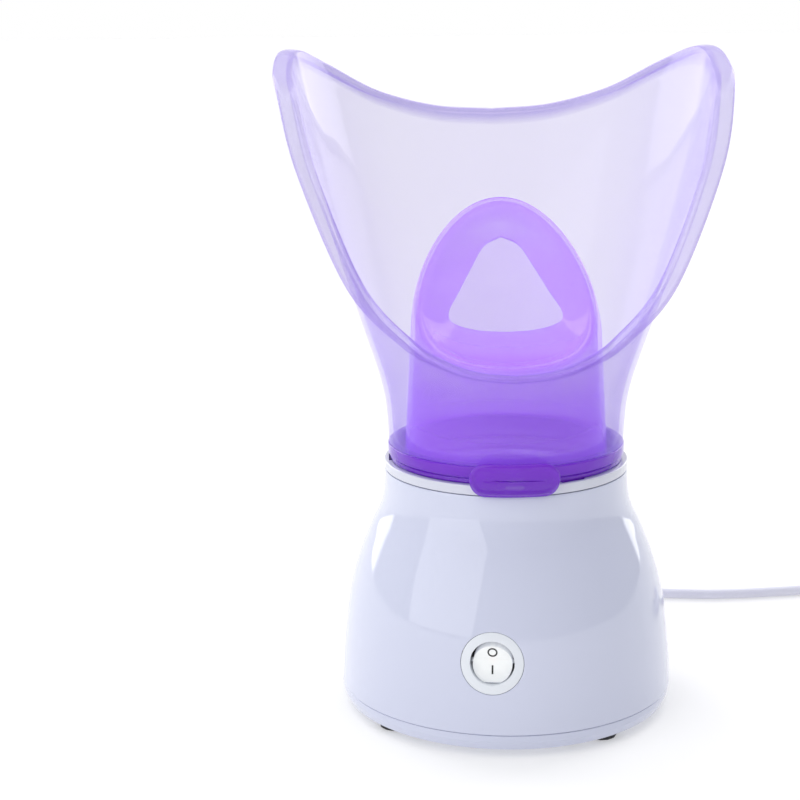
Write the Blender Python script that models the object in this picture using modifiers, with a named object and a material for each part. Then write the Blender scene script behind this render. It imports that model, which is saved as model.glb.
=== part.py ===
"""Facial steamer: a bell-shaped electric base with a boiling dish, a twist ring,
a nose inhaler and a wide face mask, standing on a table with its mains lead.

Everything is written in millimetres and scaled to metres by MM. The origin is
the centre of the base plate's underside, on the housing axis. The front, with
the power switch, faces -Y. The rubber feet reach down to TABLE_Z.
"""
import math

import bmesh
import bpy
from mathutils import Matrix, Vector

MM = 0.001
GAP = 0.3

# Base and housing
TABLE_Z = -3.0
PLATE_TOP = 2.6
PLATE_RADIUS = 80.7
SEAM_Z = 8.2
SEAM_RADIUS = 83.0
SPIGOT_TOP = 12.0
HOUSING_TOP = 116.6
HOUSING_WALL = 2.4
HOUSING_OUTLINE = [(59.9, 116.6), (60.9, 105.0), (62.9, 97.0), (67.5, 87.0), (73.5, 72.0),
                   (77.8, 57.0), (80.2, 42.0), (81.8, 27.0), (82.6, 15.0), (83.0, 8.5)]
FOOT_RING = 70.5
SCREW_RING = 72.5
SCREW_ANGLES = (30.0, 150.0, 210.0, 330.0)
BOSS_RADIUS = 3.8

# Collar, dish and heater
COLLAR_RADIUS = 60.0
COLLAR_TOP = 121.6
LIP_INNER = 56.1
SHELF_TOP = 112.0
DISH_FLOOR = 88.8
HEATER_SCREW_RING = 33.0

# Twist ring
TOP_TURN = 8.4
UNLOCK_TURN = 30.0
RING_RADIUS = 58.2
RING_BOTTOM = 121.9
RING_FLOOR = 124.5
RING_TOP = 133.0
SPIGOT_RADIUS = 47.0
TAB_RADIUS = 64.0
TAB_WIDTH = 44.0
TAB_HEIGHT = 15.8
TAB_CENTRE_Z = 125.1
LUG_COUNT = 3

# Face mask: outer edge of the rolled lip, right half, front to back
MASK_WALL = 2.2
MASK_NECK_Z = 133.3
LIP_WIDTH = 7.8
LIP_EDGE = [(0.0, -74.5, 174.0), (18.0, -71.8, 175.3), (34.0, -66.5, 179.4),
            (51.6, -58.5, 188.3), (76.3, -44.0, 212.5), (99.1, -26.0, 263.8),
            (108.7, 0.0, 297.1), (112.4, 30.0, 309.5), (109.4, 63.0, 317.4),
            (94.5, 94.5, 310.0), (66.5, 114.0, 295.3), (32.5, 119.5, 286.4),
            (0.0, 119.5, 284.2)]
MASK_SEGMENTS = 48
MASK_LEVELS = 6

# Nose inhaler
NOSE_WALL = 2.2
NOSE_BASE_RADIUS = 49.9
NOSE_TOP_RADIUS = 46.0
NOSE_TAPER_HEIGHT = 72.0
HOLE_EDGE = [(0.0, -8.0, 0.0), (12.0, -7.2, 0.0), (22.0, -4.8, 0.0), (27.2, -1.4, 0.0),
             (27.2, 4.0, 0.0), (21.5, 13.5, 0.0), (15.0, 23.0, 0.0), (8.5, 30.5, 0.0),
             (0.0, 33.5, 0.0)]
NOSE_SEGMENTS = 36

# Switch, on an axis square to the leaning front wall
SWITCH_Z = 42.5
SWITCH_SKIN_Y = -80.1
SWITCH_LEAN = 7.3
BEZEL_RADIUS = 14.6
SWITCH_HOLE_RADIUS = 15.0
OPENING_RADIUS = 10.4
ROCKER_RADIUS = 9.2
ROCKER_TIP_RADIUS = 10.6
ROCKER_TILT = 20.0
ROCKER_VALLEY_UP = 2.0
PIVOT_DEPTH = 8.0

# Mains lead
CORD_RADIUS = 2.75
CORD_Z = 0.0
OUTLET_Z = 20.0
RELIEF_END_Y = 115.0
CLAMP_Y = 54.0
CORD_ROUTE = [(0.0, 115.3, 20.0), (0.0, 124.0, 19.2), (0.8, 134.0, 15.0), (3.5, 143.5, 8.4),
              (9.0, 151.0, 2.9), (17.5, 155.6, 0.3), (28.0, 157.2, 0.0), (40.0, 157.0, 0.0),
              (54.0, 155.8, 0.0), (68.0, 154.6, 0.0), (82.7, 154.0, 0.0), (97.0, 154.2, 0.0),
              (110.7, 155.1, 0.0), (128.0, 158.3, 0.0), (145.0, 162.8, 0.0), (162.2, 167.9, 0.0),
              (173.0, 175.0, 0.0), (182.6, 182.4, 0.0)]
COIL_CENTRE = (221.3, 167.6)
COIL_INNER = 21.75
COIL_OUTER = 38.25
COIL_BOTTOM = -1.85
COIL_HEIGHT = 11.0
TIE_SLACK = 0.8
PLUG_CENTRE = (241.0, 221.0)


def clear_scene():
    for item in list(bpy.data.objects):
        bpy.data.objects.remove(item, do_unlink=True)


def make_collection(name):
    collection = bpy.data.collections.new(name)
    bpy.context.scene.collection.children.link(collection)
    return collection


clear_scene()
PARTS = make_collection("facial_steamer")
CUTTERS = make_collection("cutters")


def make_material(name, colour, roughness, metallic=0.0):
    material = bpy.data.materials.new(name)
    material.use_nodes = True
    shader = material.node_tree.nodes["Principled BSDF"]
    shader.inputs["Base Color"].default_value = (*colour, 1.0)
    shader.inputs["Roughness"].default_value = roughness
    shader.inputs["Metallic"].default_value = metallic
    return material


WHITE = make_material("white_plastic", (0.80, 0.81, 0.87), 0.25)
PALE = make_material("pale_mask_plastic", (0.72, 0.62, 0.90), 0.12)
VIOLET = make_material("violet_plastic", (0.40, 0.20, 0.80), 0.15)
DEEP_VIOLET = make_material("deep_violet_plastic", (0.22, 0.07, 0.55), 0.15)
CLEAR = make_material("clear_rocker_plastic", (0.88, 0.89, 0.92), 0.08)
RUBBER = make_material("dark_rubber", (0.05, 0.05, 0.06), 0.7)
SILICONE = make_material("silicone", (0.85, 0.85, 0.83), 0.5)
ALUMINIUM = make_material("aluminium", (0.75, 0.76, 0.78), 0.3, 1.0)
STEEL = make_material("zinc_steel", (0.62, 0.63, 0.65), 0.35, 1.0)
BRASS = make_material("brass", (0.75, 0.58, 0.25), 0.3, 1.0)
BROWN = make_material("brown_phenolic", (0.20, 0.10, 0.05), 0.5)
BLACK = make_material("black_plastic", (0.04, 0.04, 0.045), 0.45)
CORD_GREY = make_material("lead_sheath", (0.50, 0.48, 0.62), 0.45)
WIRE_BLUE = make_material("wire_blue", (0.05, 0.15, 0.55), 0.45)
WIRE_BROWN = make_material("wire_brown", (0.25, 0.10, 0.04), 0.45)
LAMP = make_material("neon_glass", (0.95, 0.45, 0.20), 0.1)


def scaled(point):
    return Vector([value * MM for value in point])


def add_object(name, data, material, collection=None):
    item = bpy.data.objects.new(name, data)
    (collection or PARTS).objects.link(item)
    if material:
        data.materials.append(material)
    return item


def as_cutter(item):
    item.hide_render = True
    item.display_type = "WIRE"
    return item


def mesh_from(build):
    """Run build(bm) on an empty bmesh and return the mesh, in metres."""
    bm = bmesh.new()
    build(bm)
    bmesh.ops.scale(bm, vec=(MM, MM, MM), verts=bm.verts)
    bmesh.ops.recalc_face_normals(bm, faces=bm.faces)
    mesh = bpy.data.meshes.new("shape")
    bm.to_mesh(mesh)
    bm.free()
    return mesh


def smooth(item, angle=35.0):
    item.data.shade_smooth()
    item.data.set_sharp_from_angle(angle=math.radians(angle))


def turned(name, profile, material, segments=48, closed=True, collection=None):
    """A profile of (radius, height) in millimetres, turned about Z by a Screw modifier."""
    mesh = bpy.data.meshes.new(name)
    points = [scaled((radius, 0.0, height)) for radius, height in profile]
    edges = [(i, i + 1) for i in range(len(points) - 1)]
    if closed:
        edges.append((len(points) - 1, 0))
    mesh.from_pydata(points, edges, [])
    item = add_object(name, mesh, material, collection)
    screw = item.modifiers.new("turn", "SCREW")
    screw.steps = segments
    screw.render_steps = segments
    screw.use_merge_vertices = True
    screw.merge_threshold = 0.00002
    screw.use_smooth_shade = True
    return item


def cylinder(name, radius, height, material, segments=24, top_radius=None, collection=None):
    """A solid cylinder or cone about Z, with its base at z = 0."""
    def build(bm):
        upper = radius if top_radius is None else top_radius
        bmesh.ops.create_cone(bm, cap_ends=True, segments=segments, radius1=radius,
                              radius2=upper, depth=height,
                              matrix=Matrix.Translation((0.0, 0.0, height / 2.0)))
    item = add_object(name, mesh_from(build), material, collection)
    smooth(item)
    return item


def box(name, size, material, collection=None):
    """A solid box of size (x, y, z), centred on its object's origin."""
    def build(bm):
        bmesh.ops.create_cube(bm, size=1.0)
        bmesh.ops.scale(bm, vec=size, verts=bm.verts)
    return add_object(name, mesh_from(build), material, collection)


def place(item, location, rotation=(0.0, 0.0, 0.0)):
    item.location = scaled(location)
    item.rotation_euler = [math.radians(angle) for angle in rotation]
    return item


def bevel(item, width, segments=2, angle=40.0):
    modifier = item.modifiers.new("rounded_edges", "BEVEL")
    modifier.width = width * MM
    modifier.segments = segments
    modifier.limit_method = "ANGLE"
    modifier.angle_limit = math.radians(angle)
    return item


def boolean(item, tool, operation):
    modifier = item.modifiers.new(operation.lower(), "BOOLEAN")
    modifier.operation = operation
    modifier.solver = "EXACT"
    modifier.object = as_cutter(tool)
    return item


def tube(name, points, radius, material, resolution=2):
    """A round bar along a list of points in millimetres, with filled ends."""
    curve = bpy.data.curves.new(name, "CURVE")
    curve.dimensions = "3D"
    curve.bevel_depth = radius * MM
    curve.bevel_resolution = resolution
    curve.use_fill_caps = True
    spline = curve.splines.new("POLY")
    spline.points.add(len(points) - 1)
    for target, point in zip(spline.points, points):
        target.co = (*scaled(point), 1.0)
    return add_object(name, curve, material)


def through_points(points, per_span):
    """Smooth curve through the points: Catmull-Rom, with per_span steps in each span."""
    knots = [Vector(point) for point in points]
    first = knots[0] * 2.0 - knots[1]
    last = knots[-1] * 2.0 - knots[-2]
    knots = [first] + knots + [last]
    result = []
    for i in range(1, len(knots) - 2):
        p0, p1, p2, p3 = knots[i - 1:i + 3]
        for step in range(per_span):
            t = step / per_span
            result.append(0.5 * (2.0 * p1 + (p2 - p0) * t
                                 + (2.0 * p0 - 5.0 * p1 + 4.0 * p2 - p3) * t ** 2
                                 + (3.0 * p1 - p0 - 3.0 * p2 + p3) * t ** 3))
    result.append(knots[-2])
    return result


def offset_inward(outline, distance):
    """Move a (radius, height) outline towards the axis, square to itself."""
    result = []
    for i, (radius, height) in enumerate(outline):
        before = outline[max(i - 1, 0)]
        after = outline[min(i + 1, len(outline) - 1)]
        along = Vector((after[0] - before[0], after[1] - before[1])).normalized()
        result.append((radius + along.y * distance, height - along.x * distance))
    return result


def polar(radius, angle, height=0.0):
    """Angle in degrees, counted from the front (-Y) towards +X."""
    turn = math.radians(angle)
    return (radius * math.sin(turn), -radius * math.cos(turn), height)


def loft(name, rings, material):
    """An open skin through closed rings of equal point counts, first ring to last."""
    mesh = bpy.data.meshes.new(name)
    count = len(rings[0])
    points = [scaled(point) for ring in rings for point in ring]
    faces = []
    for level in range(len(rings) - 1):
        for i in range(count):
            j = (i + 1) % count
            low = level * count
            high = low + count
            faces.append((low + i, low + j, high + j, high + i))
    mesh.from_pydata(points, [], faces)
    return add_object(name, mesh, material)


def solidify(item, thickness):
    modifier = item.modifiers.new("wall", "SOLIDIFY")
    modifier.thickness = thickness * MM
    modifier.offset = -1.0
    modifier.use_even_offset = True
    return item


# ---------------------------------------------------------------- base and housing

def make_base_plate():
    profile = [(0.0, PLATE_TOP), (77.6, PLATE_TOP), (77.6, SPIGOT_TOP), (79.6, SPIGOT_TOP),
               (79.6, SEAM_Z - 0.1), (SEAM_RADIUS - 0.5, SEAM_Z - 0.1),
               (SEAM_RADIUS - 0.1, SEAM_Z - 0.8), (SEAM_RADIUS - 0.9, SEAM_Z / 2.0),
               (PLATE_RADIUS, 0.6), (PLATE_RADIUS - 0.8, 0.0), (0.0, 0.0)]
    plate = turned("base_plate", profile, WHITE, segments=48, closed=False)
    for index in range(8):
        slot = box("cut_vent_%d" % index, (3.0, 16.0, 10.0), None, CUTTERS)
        place(slot, polar(46.0, 45.0 * index, 0.0), (0.0, 0.0, 45.0 * index))
        boolean(plate, slot, "DIFFERENCE")
    for index in range(4):
        hole = cylinder("cut_foot_%d" % index, 3.3, 10.0, None, 10, collection=CUTTERS)
        place(hole, polar(FOOT_RING, 45.0 + 90.0 * index, -4.0))
        boolean(plate, hole, "DIFFERENCE")
    for index, angle in enumerate(SCREW_ANGLES):
        hole = cylinder("cut_screw_%d" % index, 1.7, 10.0, None, 8, collection=CUTTERS)
        place(hole, polar(SCREW_RING, angle, -4.0))
        boolean(plate, hole, "DIFFERENCE")
        seat = cylinder("cut_head_%d" % index, 3.4, 4.0, None, 10, collection=CUTTERS)
        place(seat, polar(SCREW_RING, angle, -2.6))
        boolean(plate, seat, "DIFFERENCE")


def make_feet():
    profile = [(0.0, 6.0), (3.0, 6.0), (3.0, -GAP), (7.5, -GAP),
               (7.5, TABLE_Z + 0.6), (6.9, TABLE_Z), (0.0, TABLE_Z)]
    for index in range(4):
        foot = turned("foot_%d" % (index + 1), profile, RUBBER, segments=12, closed=False)
        place(foot, polar(FOOT_RING, 45.0 + 90.0 * index))


def make_base_screws():
    profile = [(0.0, 11.0), (1.3, 11.0), (1.3, 1.1), (3.0, 1.1), (3.0, 0.2), (0.0, 0.2)]
    for index, angle in enumerate(SCREW_ANGLES):
        screw = turned("base_screw_%d" % (index + 1), profile, STEEL, segments=8, closed=False)
        place(screw, polar(SCREW_RING, angle))


def make_housing():
    outer = HOUSING_OUTLINE
    inner = offset_inward(outer, HOUSING_WALL)
    inner[0] = (outer[0][0] - HOUSING_WALL, HOUSING_TOP)
    inner[-1] = (outer[-1][0] - HOUSING_WALL, outer[-1][1])
    housing = turned("housing", outer + inner[::-1], WHITE, segments=48)
    for index, angle in enumerate(SCREW_ANGLES):
        boss = cylinder("add_boss_%d" % index, BOSS_RADIUS, 30.0, None, 8, collection=CUTTERS)
        place(boss, polar(SCREW_RING, angle, PLATE_TOP + GAP))
        boolean(housing, boss, "UNION")
        web = box("add_web_%d" % index, (2.4, 7.0, 16.0), None, CUTTERS)
        place(web, polar(SCREW_RING + 5.0, angle, 21.0), (0.0, 0.0, angle))
        boolean(housing, web, "UNION")
        pilot = cylinder("cut_pilot_%d" % index, 1.6, 14.0, None, 8, collection=CUTTERS)
        place(pilot, polar(SCREW_RING, angle, 0.0))
        boolean(housing, pilot, "DIFFERENCE")
    hole = cylinder("cut_switch", SWITCH_HOLE_RADIUS, 40.0, None, 32, collection=CUTTERS)
    place_on_switch(hole, -30.0)
    boolean(housing, hole, "DIFFERENCE")
    outlet = cylinder("cut_outlet", 4.8, 20.0, None, 16, collection=CUTTERS)
    place(outlet, (0.0, 92.0, OUTLET_Z), (90.0, 0.0, 0.0))
    boolean(housing, outlet, "DIFFERENCE")


# ---------------------------------------------------------------- collar, dish and heater

def make_collar():
    profile = [(COLLAR_RADIUS - 0.6, COLLAR_TOP), (COLLAR_RADIUS, COLLAR_TOP - 0.6),
               (COLLAR_RADIUS, HOUSING_TOP + GAP), (57.1, HOUSING_TOP + GAP),
               (57.1, 104.0), (55.0, 104.0), (55.0, SHELF_TOP - 2.0), (46.3, SHELF_TOP - 2.0),
               (46.3, SHELF_TOP), (55.0, SHELF_TOP), (55.0, 118.0), (58.0, 118.0),
               (58.0, 120.0), (LIP_INNER, 120.0), (LIP_INNER, COLLAR_TOP)]
    collar = turned("top_collar", profile, WHITE, segments=40)
    for index in range(LUG_COUNT):
        notch = box("cut_notch_%d" % index, (14.0, 4.5, 3.0), None, CUTTERS)
        angle = 120.0 * index + TOP_TURN + UNLOCK_TURN
        place(notch, polar(55.7, angle, 121.0), (0.0, 0.0, angle))
        boolean(collar, notch, "DIFFERENCE")


def make_dish():
    profile = [(0.0, DISH_FLOOR + 1.2), (38.0, DISH_FLOOR + 1.2), (41.0, 93.0), (43.6, 110.8),
               (45.0, 113.5), (54.4, 113.5), (54.4, SHELF_TOP + GAP), (45.8, SHELF_TOP + GAP),
               (44.8, 110.6), (42.3, 92.4), (38.6, DISH_FLOOR), (0.0, DISH_FLOOR)]
    turned("water_dish", profile, ALUMINIUM, segments=28, closed=False)


def make_heater():
    plate = cylinder("heating_plate", 36.0, 3.0, ALUMINIUM, 32)
    place(plate, (0.0, 0.0, DISH_FLOOR - GAP - 3.0))
    ring = [polar(24.0, 25.0 + 310.0 * step / 16.0, 81.8) for step in range(17)]
    first = polar(24.0, 25.0, 77.0)
    last = polar(24.0, 335.0, 77.0)
    tube("heating_element", [first] + ring + [last], 3.0, STEEL)
    shield = [(0.0, 74.5), (44.0, 74.5), (50.0, 80.5), (50.0, 107.5), (51.0, 107.5),
              (51.0, 80.0), (44.4, 73.5), (0.0, 73.5)]
    cup = turned("heat_shield", shield, STEEL, segments=24, closed=False)
    for index in range(3):
        angle = 120.0 * index + 60.0
        hole = cylinder("cut_stud_%d" % index, 1.8, 8.0, None, 8, collection=CUTTERS)
        place(hole, polar(HEATER_SCREW_RING, angle, 70.0))
        boolean(cup, hole, "DIFFERENCE")
        profile = [(0.0, 85.2), (1.5, 85.2), (1.5, 73.2), (3.0, 73.2), (3.0, 71.0), (0.0, 71.0)]
        stud = turned("heater_screw_%d" % (index + 1), profile, STEEL, segments=8, closed=False)
        place(stud, polar(HEATER_SCREW_RING, angle))
    thermostat = cylinder("thermostat", 8.0, 6.5, BROWN, 20)
    place(thermostat, (0.0, 0.0, 78.6))
    fuse = cylinder("thermal_fuse", 2.0, 12.0, WHITE, 12)
    place(fuse, (13.0, 6.0, 80.0), (90.0, 0.0, 0.0))


def make_seal():
    profile = [(54.2, 118.0), (54.6, 117.4), (54.6, 114.4), (54.2, 113.8), (50.8, 113.8),
               (50.4, 114.4), (50.4, 117.4), (50.8, 118.0)]
    turned("seal_ring", profile, SILICONE, segments=28)


# ---------------------------------------------------------------- twist ring

def make_twist_ring():
    profile = [(RING_RADIUS - 0.5, RING_TOP), (RING_RADIUS, RING_TOP - 0.5),
               (RING_RADIUS, 124.8), (56.4, 124.5), (56.4, 124.1), (57.2, 123.9),
               (57.2, RING_BOTTOM), (55.8, RING_BOTTOM), (55.8, 118.3), (53.3, 118.3),
               (53.3, RING_BOTTOM), (44.5, RING_BOTTOM), (44.5, 131.5), (SPIGOT_RADIUS, 131.5),
               (SPIGOT_RADIUS, RING_FLOOR), (55.4, RING_FLOOR), (55.4, RING_TOP)]
    ring = turned("twist_ring", profile, DEEP_VIOLET, segments=40)
    ring.rotation_euler.z = math.radians(TOP_TURN)
    for index in range(LUG_COUNT):
        angle = TOP_TURN + 120.0 * index
        lug = box("add_lug_%d" % index, (10.0, 2.6, 1.4), None, CUTTERS)
        place(lug, polar(56.2, angle, 119.0), (0.0, 0.0, angle))
        boolean(ring, lug, "UNION")
    boolean(ring, tab_plate(), "UNION")
    bridge = turned("tab_bridge_band", [(61.5, 132.4), (61.5, 125.4), (57.0, 125.4), (57.0, 132.4)],
                    None, segments=40, collection=CUTTERS)
    bridge.rotation_euler.z = math.radians(TOP_TURN)
    window = box("tab_bridge_window", (30.0, 20.0, 20.0), None, CUTTERS)
    place(window, polar(60.0, TOP_TURN, 129.0), (0.0, 0.0, TOP_TURN))
    boolean(bridge, window, "INTERSECT")
    boolean(ring, bridge, "UNION")


def tab_plate():
    """The thumb tab: a stadium cut out of a band round the collar."""
    low = TAB_CENTRE_Z - TAB_HEIGHT / 2.0 - 2.0
    high = TAB_CENTRE_Z + TAB_HEIGHT / 2.0 + 2.0
    inner = COLLAR_RADIUS + 0.6
    band = turned("tab_band", [(TAB_RADIUS, high), (TAB_RADIUS, low), (inner, low), (inner, high)],
                  None, segments=72, collection=CUTTERS)
    outline = bpy.data.curves.new("tab_outline", "CURVE")
    outline.dimensions = "2D"
    outline.fill_mode = "BOTH"
    outline.extrude = 12.0 * MM
    spline = outline.splines.new("POLY")
    spline.use_cyclic_u = True
    end_radius = TAB_HEIGHT / 2.0
    half = TAB_WIDTH / 2.0 - end_radius
    points = []
    for step in range(17):
        angle = math.radians(-90.0 + 180.0 * step / 16.0)
        points.append((half + end_radius * math.cos(angle), end_radius * math.sin(angle)))
    points += [(-x, -y) for x, y in points]
    spline.points.add(len(points) - 1)
    for target, (x, y) in zip(spline.points, points):
        target.co = (x * MM, y * MM, 0.0, 1.0)
    guide = bpy.data.objects.new("tab_guide", outline)
    CUTTERS.objects.link(guide)
    bpy.context.view_layer.update()
    mesh = bpy.data.meshes.new_from_object(guide.evaluated_get(bpy.context.evaluated_depsgraph_get()))
    bm = bmesh.new()
    bm.from_mesh(mesh)
    bmesh.ops.remove_doubles(bm, verts=bm.verts, dist=0.00001)
    bmesh.ops.recalc_face_normals(bm, faces=bm.faces)
    bm.to_mesh(mesh)
    bm.free()
    bpy.data.objects.remove(guide, do_unlink=True)
    stadium = as_cutter(add_object("tab_stadium", mesh, None, CUTTERS))
    place(stadium, polar(62.0, TOP_TURN, TAB_CENTRE_Z), (90.0, 0.0, TOP_TURN))
    boolean(band, stadium, "INTERSECT")
    return band


# ---------------------------------------------------------------- face mask

def mask_flare(height):
    """Radius of the mask wall at a height above the table side of the neck."""
    rise = height - MASK_NECK_Z - 21.0
    return 57.9 + 0.21 * (rise + math.hypot(rise, 16.0)) - 1.13


def mirrored_outline(right_half, count):
    """A closed ring of evenly spaced points from its right half, from the front towards +X."""
    right = through_points(right_half, 12)
    left = [Vector((-point.x, point.y, point.z)) for point in right[-2:0:-1]]
    closed = right + left + [right[0]]
    lengths = [0.0]
    for here, there in zip(closed, closed[1:]):
        lengths.append(lengths[-1] + (there - here).length)
    result = []
    index = 0
    for step in range(count):
        wanted = lengths[-1] * step / count
        while lengths[index + 1] < wanted:
            index += 1
        share = (wanted - lengths[index]) / (lengths[index + 1] - lengths[index])
        result.append(closed[index].lerp(closed[index + 1], share))
    return result


def make_face_mask():
    edge = mirrored_outline(LIP_EDGE, MASK_SEGMENTS)
    outward = [Vector((point.x, point.y - 15.0, 0.0)).normalized() for point in edge]
    rim = [point - direction * LIP_WIDTH for point, direction in zip(edge, outward)]
    angles = [math.atan2(point.x, -point.y) for point in rim]
    rings = []
    for radius, height in ((55.1, 125.2), (55.1, MASK_NECK_Z), (57.9, MASK_NECK_Z + 0.1)):
        rings.append([(radius * math.sin(a), -radius * math.cos(a), height) for a in angles])
    for level in range(1, MASK_LEVELS + 1):
        share = level / MASK_LEVELS
        ring = []
        for point, angle in zip(rim, angles):
            height = MASK_NECK_Z + share * (point.z - MASK_NECK_Z)
            correction = math.hypot(point.x, point.y) - mask_flare(point.z)
            radius = mask_flare(height) + correction * share ** 2
            ring.append((radius * math.sin(angle), -radius * math.cos(angle), height))
        rings.append(ring)
    rings.append([tuple(point) for point in edge])
    mask = loft("face_mask", rings, PALE)
    mask.rotation_euler.z = math.radians(TOP_TURN)
    solidify(mask, MASK_WALL)
    smooth(mask, 50.0)


# ---------------------------------------------------------------- nose inhaler

def nose_rim_height(y):
    """Height of the inhaler's slanted rim at a distance y behind the axis."""
    return 196.0 + 0.813 * y + 0.0074 * y ** 2


def nose_radius(height):
    share = min(max((height - RING_FLOOR) / NOSE_TAPER_HEIGHT, 0.0), 1.0)
    return NOSE_BASE_RADIUS + (NOSE_TOP_RADIUS - NOSE_BASE_RADIUS) * share


def make_nose_inhaler():
    turns = [2.0 * math.pi * step / NOSE_SEGMENTS for step in range(NOSE_SEGMENTS)]
    rings = []
    bottom = RING_FLOOR + GAP
    for share in (0.0, 0.35, 0.7):
        ring = []
        for turn in turns:
            top = nose_rim_height(-NOSE_TOP_RADIUS * math.cos(turn)) - 7.0
            height = bottom + share * (top - bottom)
            radius = nose_radius(height)
            ring.append((radius * math.sin(turn), -radius * math.cos(turn), height))
        rings.append(ring)
    for inset, drop in ((0.0, 7.0), (0.8, 2.8), (3.0, 0.3), (6.0, 0.0), (9.5, 1.4)):
        ring = []
        for turn in turns:
            radius = NOSE_TOP_RADIUS - inset
            y = -radius * math.cos(turn)
            ring.append((radius * math.sin(turn), y, nose_rim_height(y) - drop))
        rings.append(ring)
    hole = mirrored_outline(HOLE_EDGE, NOSE_SEGMENTS)
    for share, drop in ((0.55, 3.4), (1.0, 5.2)):
        ring = []
        for target, start in zip(hole, rings[7]):
            x = start[0] + (target.x - start[0]) * share
            y = start[1] + (target.y - start[1]) * share
            ring.append((x, y, nose_rim_height(y) - drop))
        rings.append(ring)
    nose = loft("nose_inhaler", rings, VIOLET)
    nose.rotation_euler.z = math.radians(TOP_TURN)
    solidify(nose, NOSE_WALL)
    smooth(nose, 50.0)


# ---------------------------------------------------------------- switch

def switch_frame():
    """Matrix whose Z points out of the switch and whose origin is on the housing skin."""
    outwards = Matrix.Rotation(math.radians(90.0 - SWITCH_LEAN), 4, "X")
    return Matrix.Translation(scaled((0.0, SWITCH_SKIN_Y, SWITCH_Z))) @ outwards


def place_on_switch(item, depth, across=0.0, up=0.0, turn=None):
    """Put an object at a height along the switch axis, negative inside the housing."""
    local = Matrix.Translation(scaled((across, up, depth)))
    if turn is not None:
        local = local @ turn
    item.matrix_world = switch_frame() @ local
    return item


def make_bezel():
    profile = [(BEZEL_RADIUS, 3.0), (BEZEL_RADIUS, -9.0), (OPENING_RADIUS, -9.0),
               (OPENING_RADIUS, 3.0)]
    bezel = turned("switch_bezel", profile, WHITE, segments=32)
    place_on_switch(bezel, 0.0)
    outline = [(radius - 0.1, height) for radius, height in HOUSING_OUTLINE]
    solid = [(0.0, outline[0][1])] + outline + [(0.0, outline[-1][1])]
    skin = turned("trim_skin", solid, None, segments=48, closed=False, collection=CUTTERS)
    boolean(bezel, skin, "INTERSECT")


def make_rocker():
    rocker = cylinder("switch_rocker", ROCKER_RADIUS, 20.0, CLEAR, 32)
    place_on_switch(rocker, -PIVOT_DEPTH,
                    turn=Matrix.Rotation(math.radians(ROCKER_TILT / 2.0), 4, "X"))
    shift = Matrix.Translation(scaled((0.0, 0.0, -3.0)))
    rocker.data.transform(shift)
    barrel = cylinder("trim_barrel", ROCKER_TIP_RADIUS, 30.0, None, 32, collection=CUTTERS)
    place_on_switch(barrel, -PIVOT_DEPTH, turn=Matrix.Rotation(math.radians(90.0), 4, "Y")
                    @ Matrix.Translation(scaled((0.0, 0.0, -15.0))))
    boolean(rocker, barrel, "INTERSECT")
    lower = box("cut_lower_face", (30.0, 40.0, 20.0), None, CUTTERS)
    place_on_switch(lower, -PIVOT_DEPTH + 5.0 + 10.0, up=ROCKER_VALLEY_UP - 20.0)
    boolean(rocker, lower, "DIFFERENCE")
    upper = box("cut_upper_face", (30.0, 40.0, 20.0), None, CUTTERS)
    tilt = (Matrix.Rotation(math.radians(ROCKER_TILT), 4, "X")
            @ Matrix.Translation(scaled((0.0, 19.9, 10.0))))
    place_on_switch(upper, -PIVOT_DEPTH + 5.0, up=ROCKER_VALLEY_UP, turn=tilt)
    boolean(rocker, upper, "DIFFERENCE")
    pocket = box("cut_lamp_pocket", (11.0, 9.0, 10.0), None, CUTTERS)
    place_on_switch(pocket, -PIVOT_DEPTH - 3.0, across=0.0)
    boolean(rocker, pocket, "DIFFERENCE")
    bore = cylinder("cut_axle", 1.5, 30.0, None, 12, collection=CUTTERS)
    place_on_switch(bore, -PIVOT_DEPTH, turn=Matrix.Rotation(math.radians(90.0), 4, "Y")
                    @ Matrix.Translation(scaled((0.0, 0.0, -15.0))))
    boolean(rocker, bore, "DIFFERENCE")


def make_switch_inside():
    for side, name in ((-1.0, "rocker_axle_left"), (1.0, "rocker_axle_right")):
        axle = cylinder(name, 1.2, 4.3, STEEL, 12)
        start = 5.9 if side > 0.0 else -10.2
        place_on_switch(axle, -PIVOT_DEPTH, across=start,
                        turn=Matrix.Rotation(math.radians(90.0), 4, "Y"))
    cup = [(12.8, -9.3), (12.8, -26.0), (0.0, -26.0)]
    profile = [(0.0, -15.3), (10.6, -15.3), (10.6, -9.3)] + cup
    body = turned("switch_body", profile, BLACK, segments=28, closed=False)
    place_on_switch(body, 0.0)
    lamp = cylinder("indicator_lamp", 1.8, 7.5, LAMP, 12)
    place_on_switch(lamp, -15.0)
    for index, (across, up) in enumerate(((-6.0, 0.0), (6.0, 0.0), (0.0, 6.5))):
        blade = box("switch_terminal_%d" % (index + 1), (4.8, 0.8, 9.0), BRASS)
        place_on_switch(blade, -26.3 - 4.5, across=across, up=up)


# ---------------------------------------------------------------- wiring inside

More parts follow.
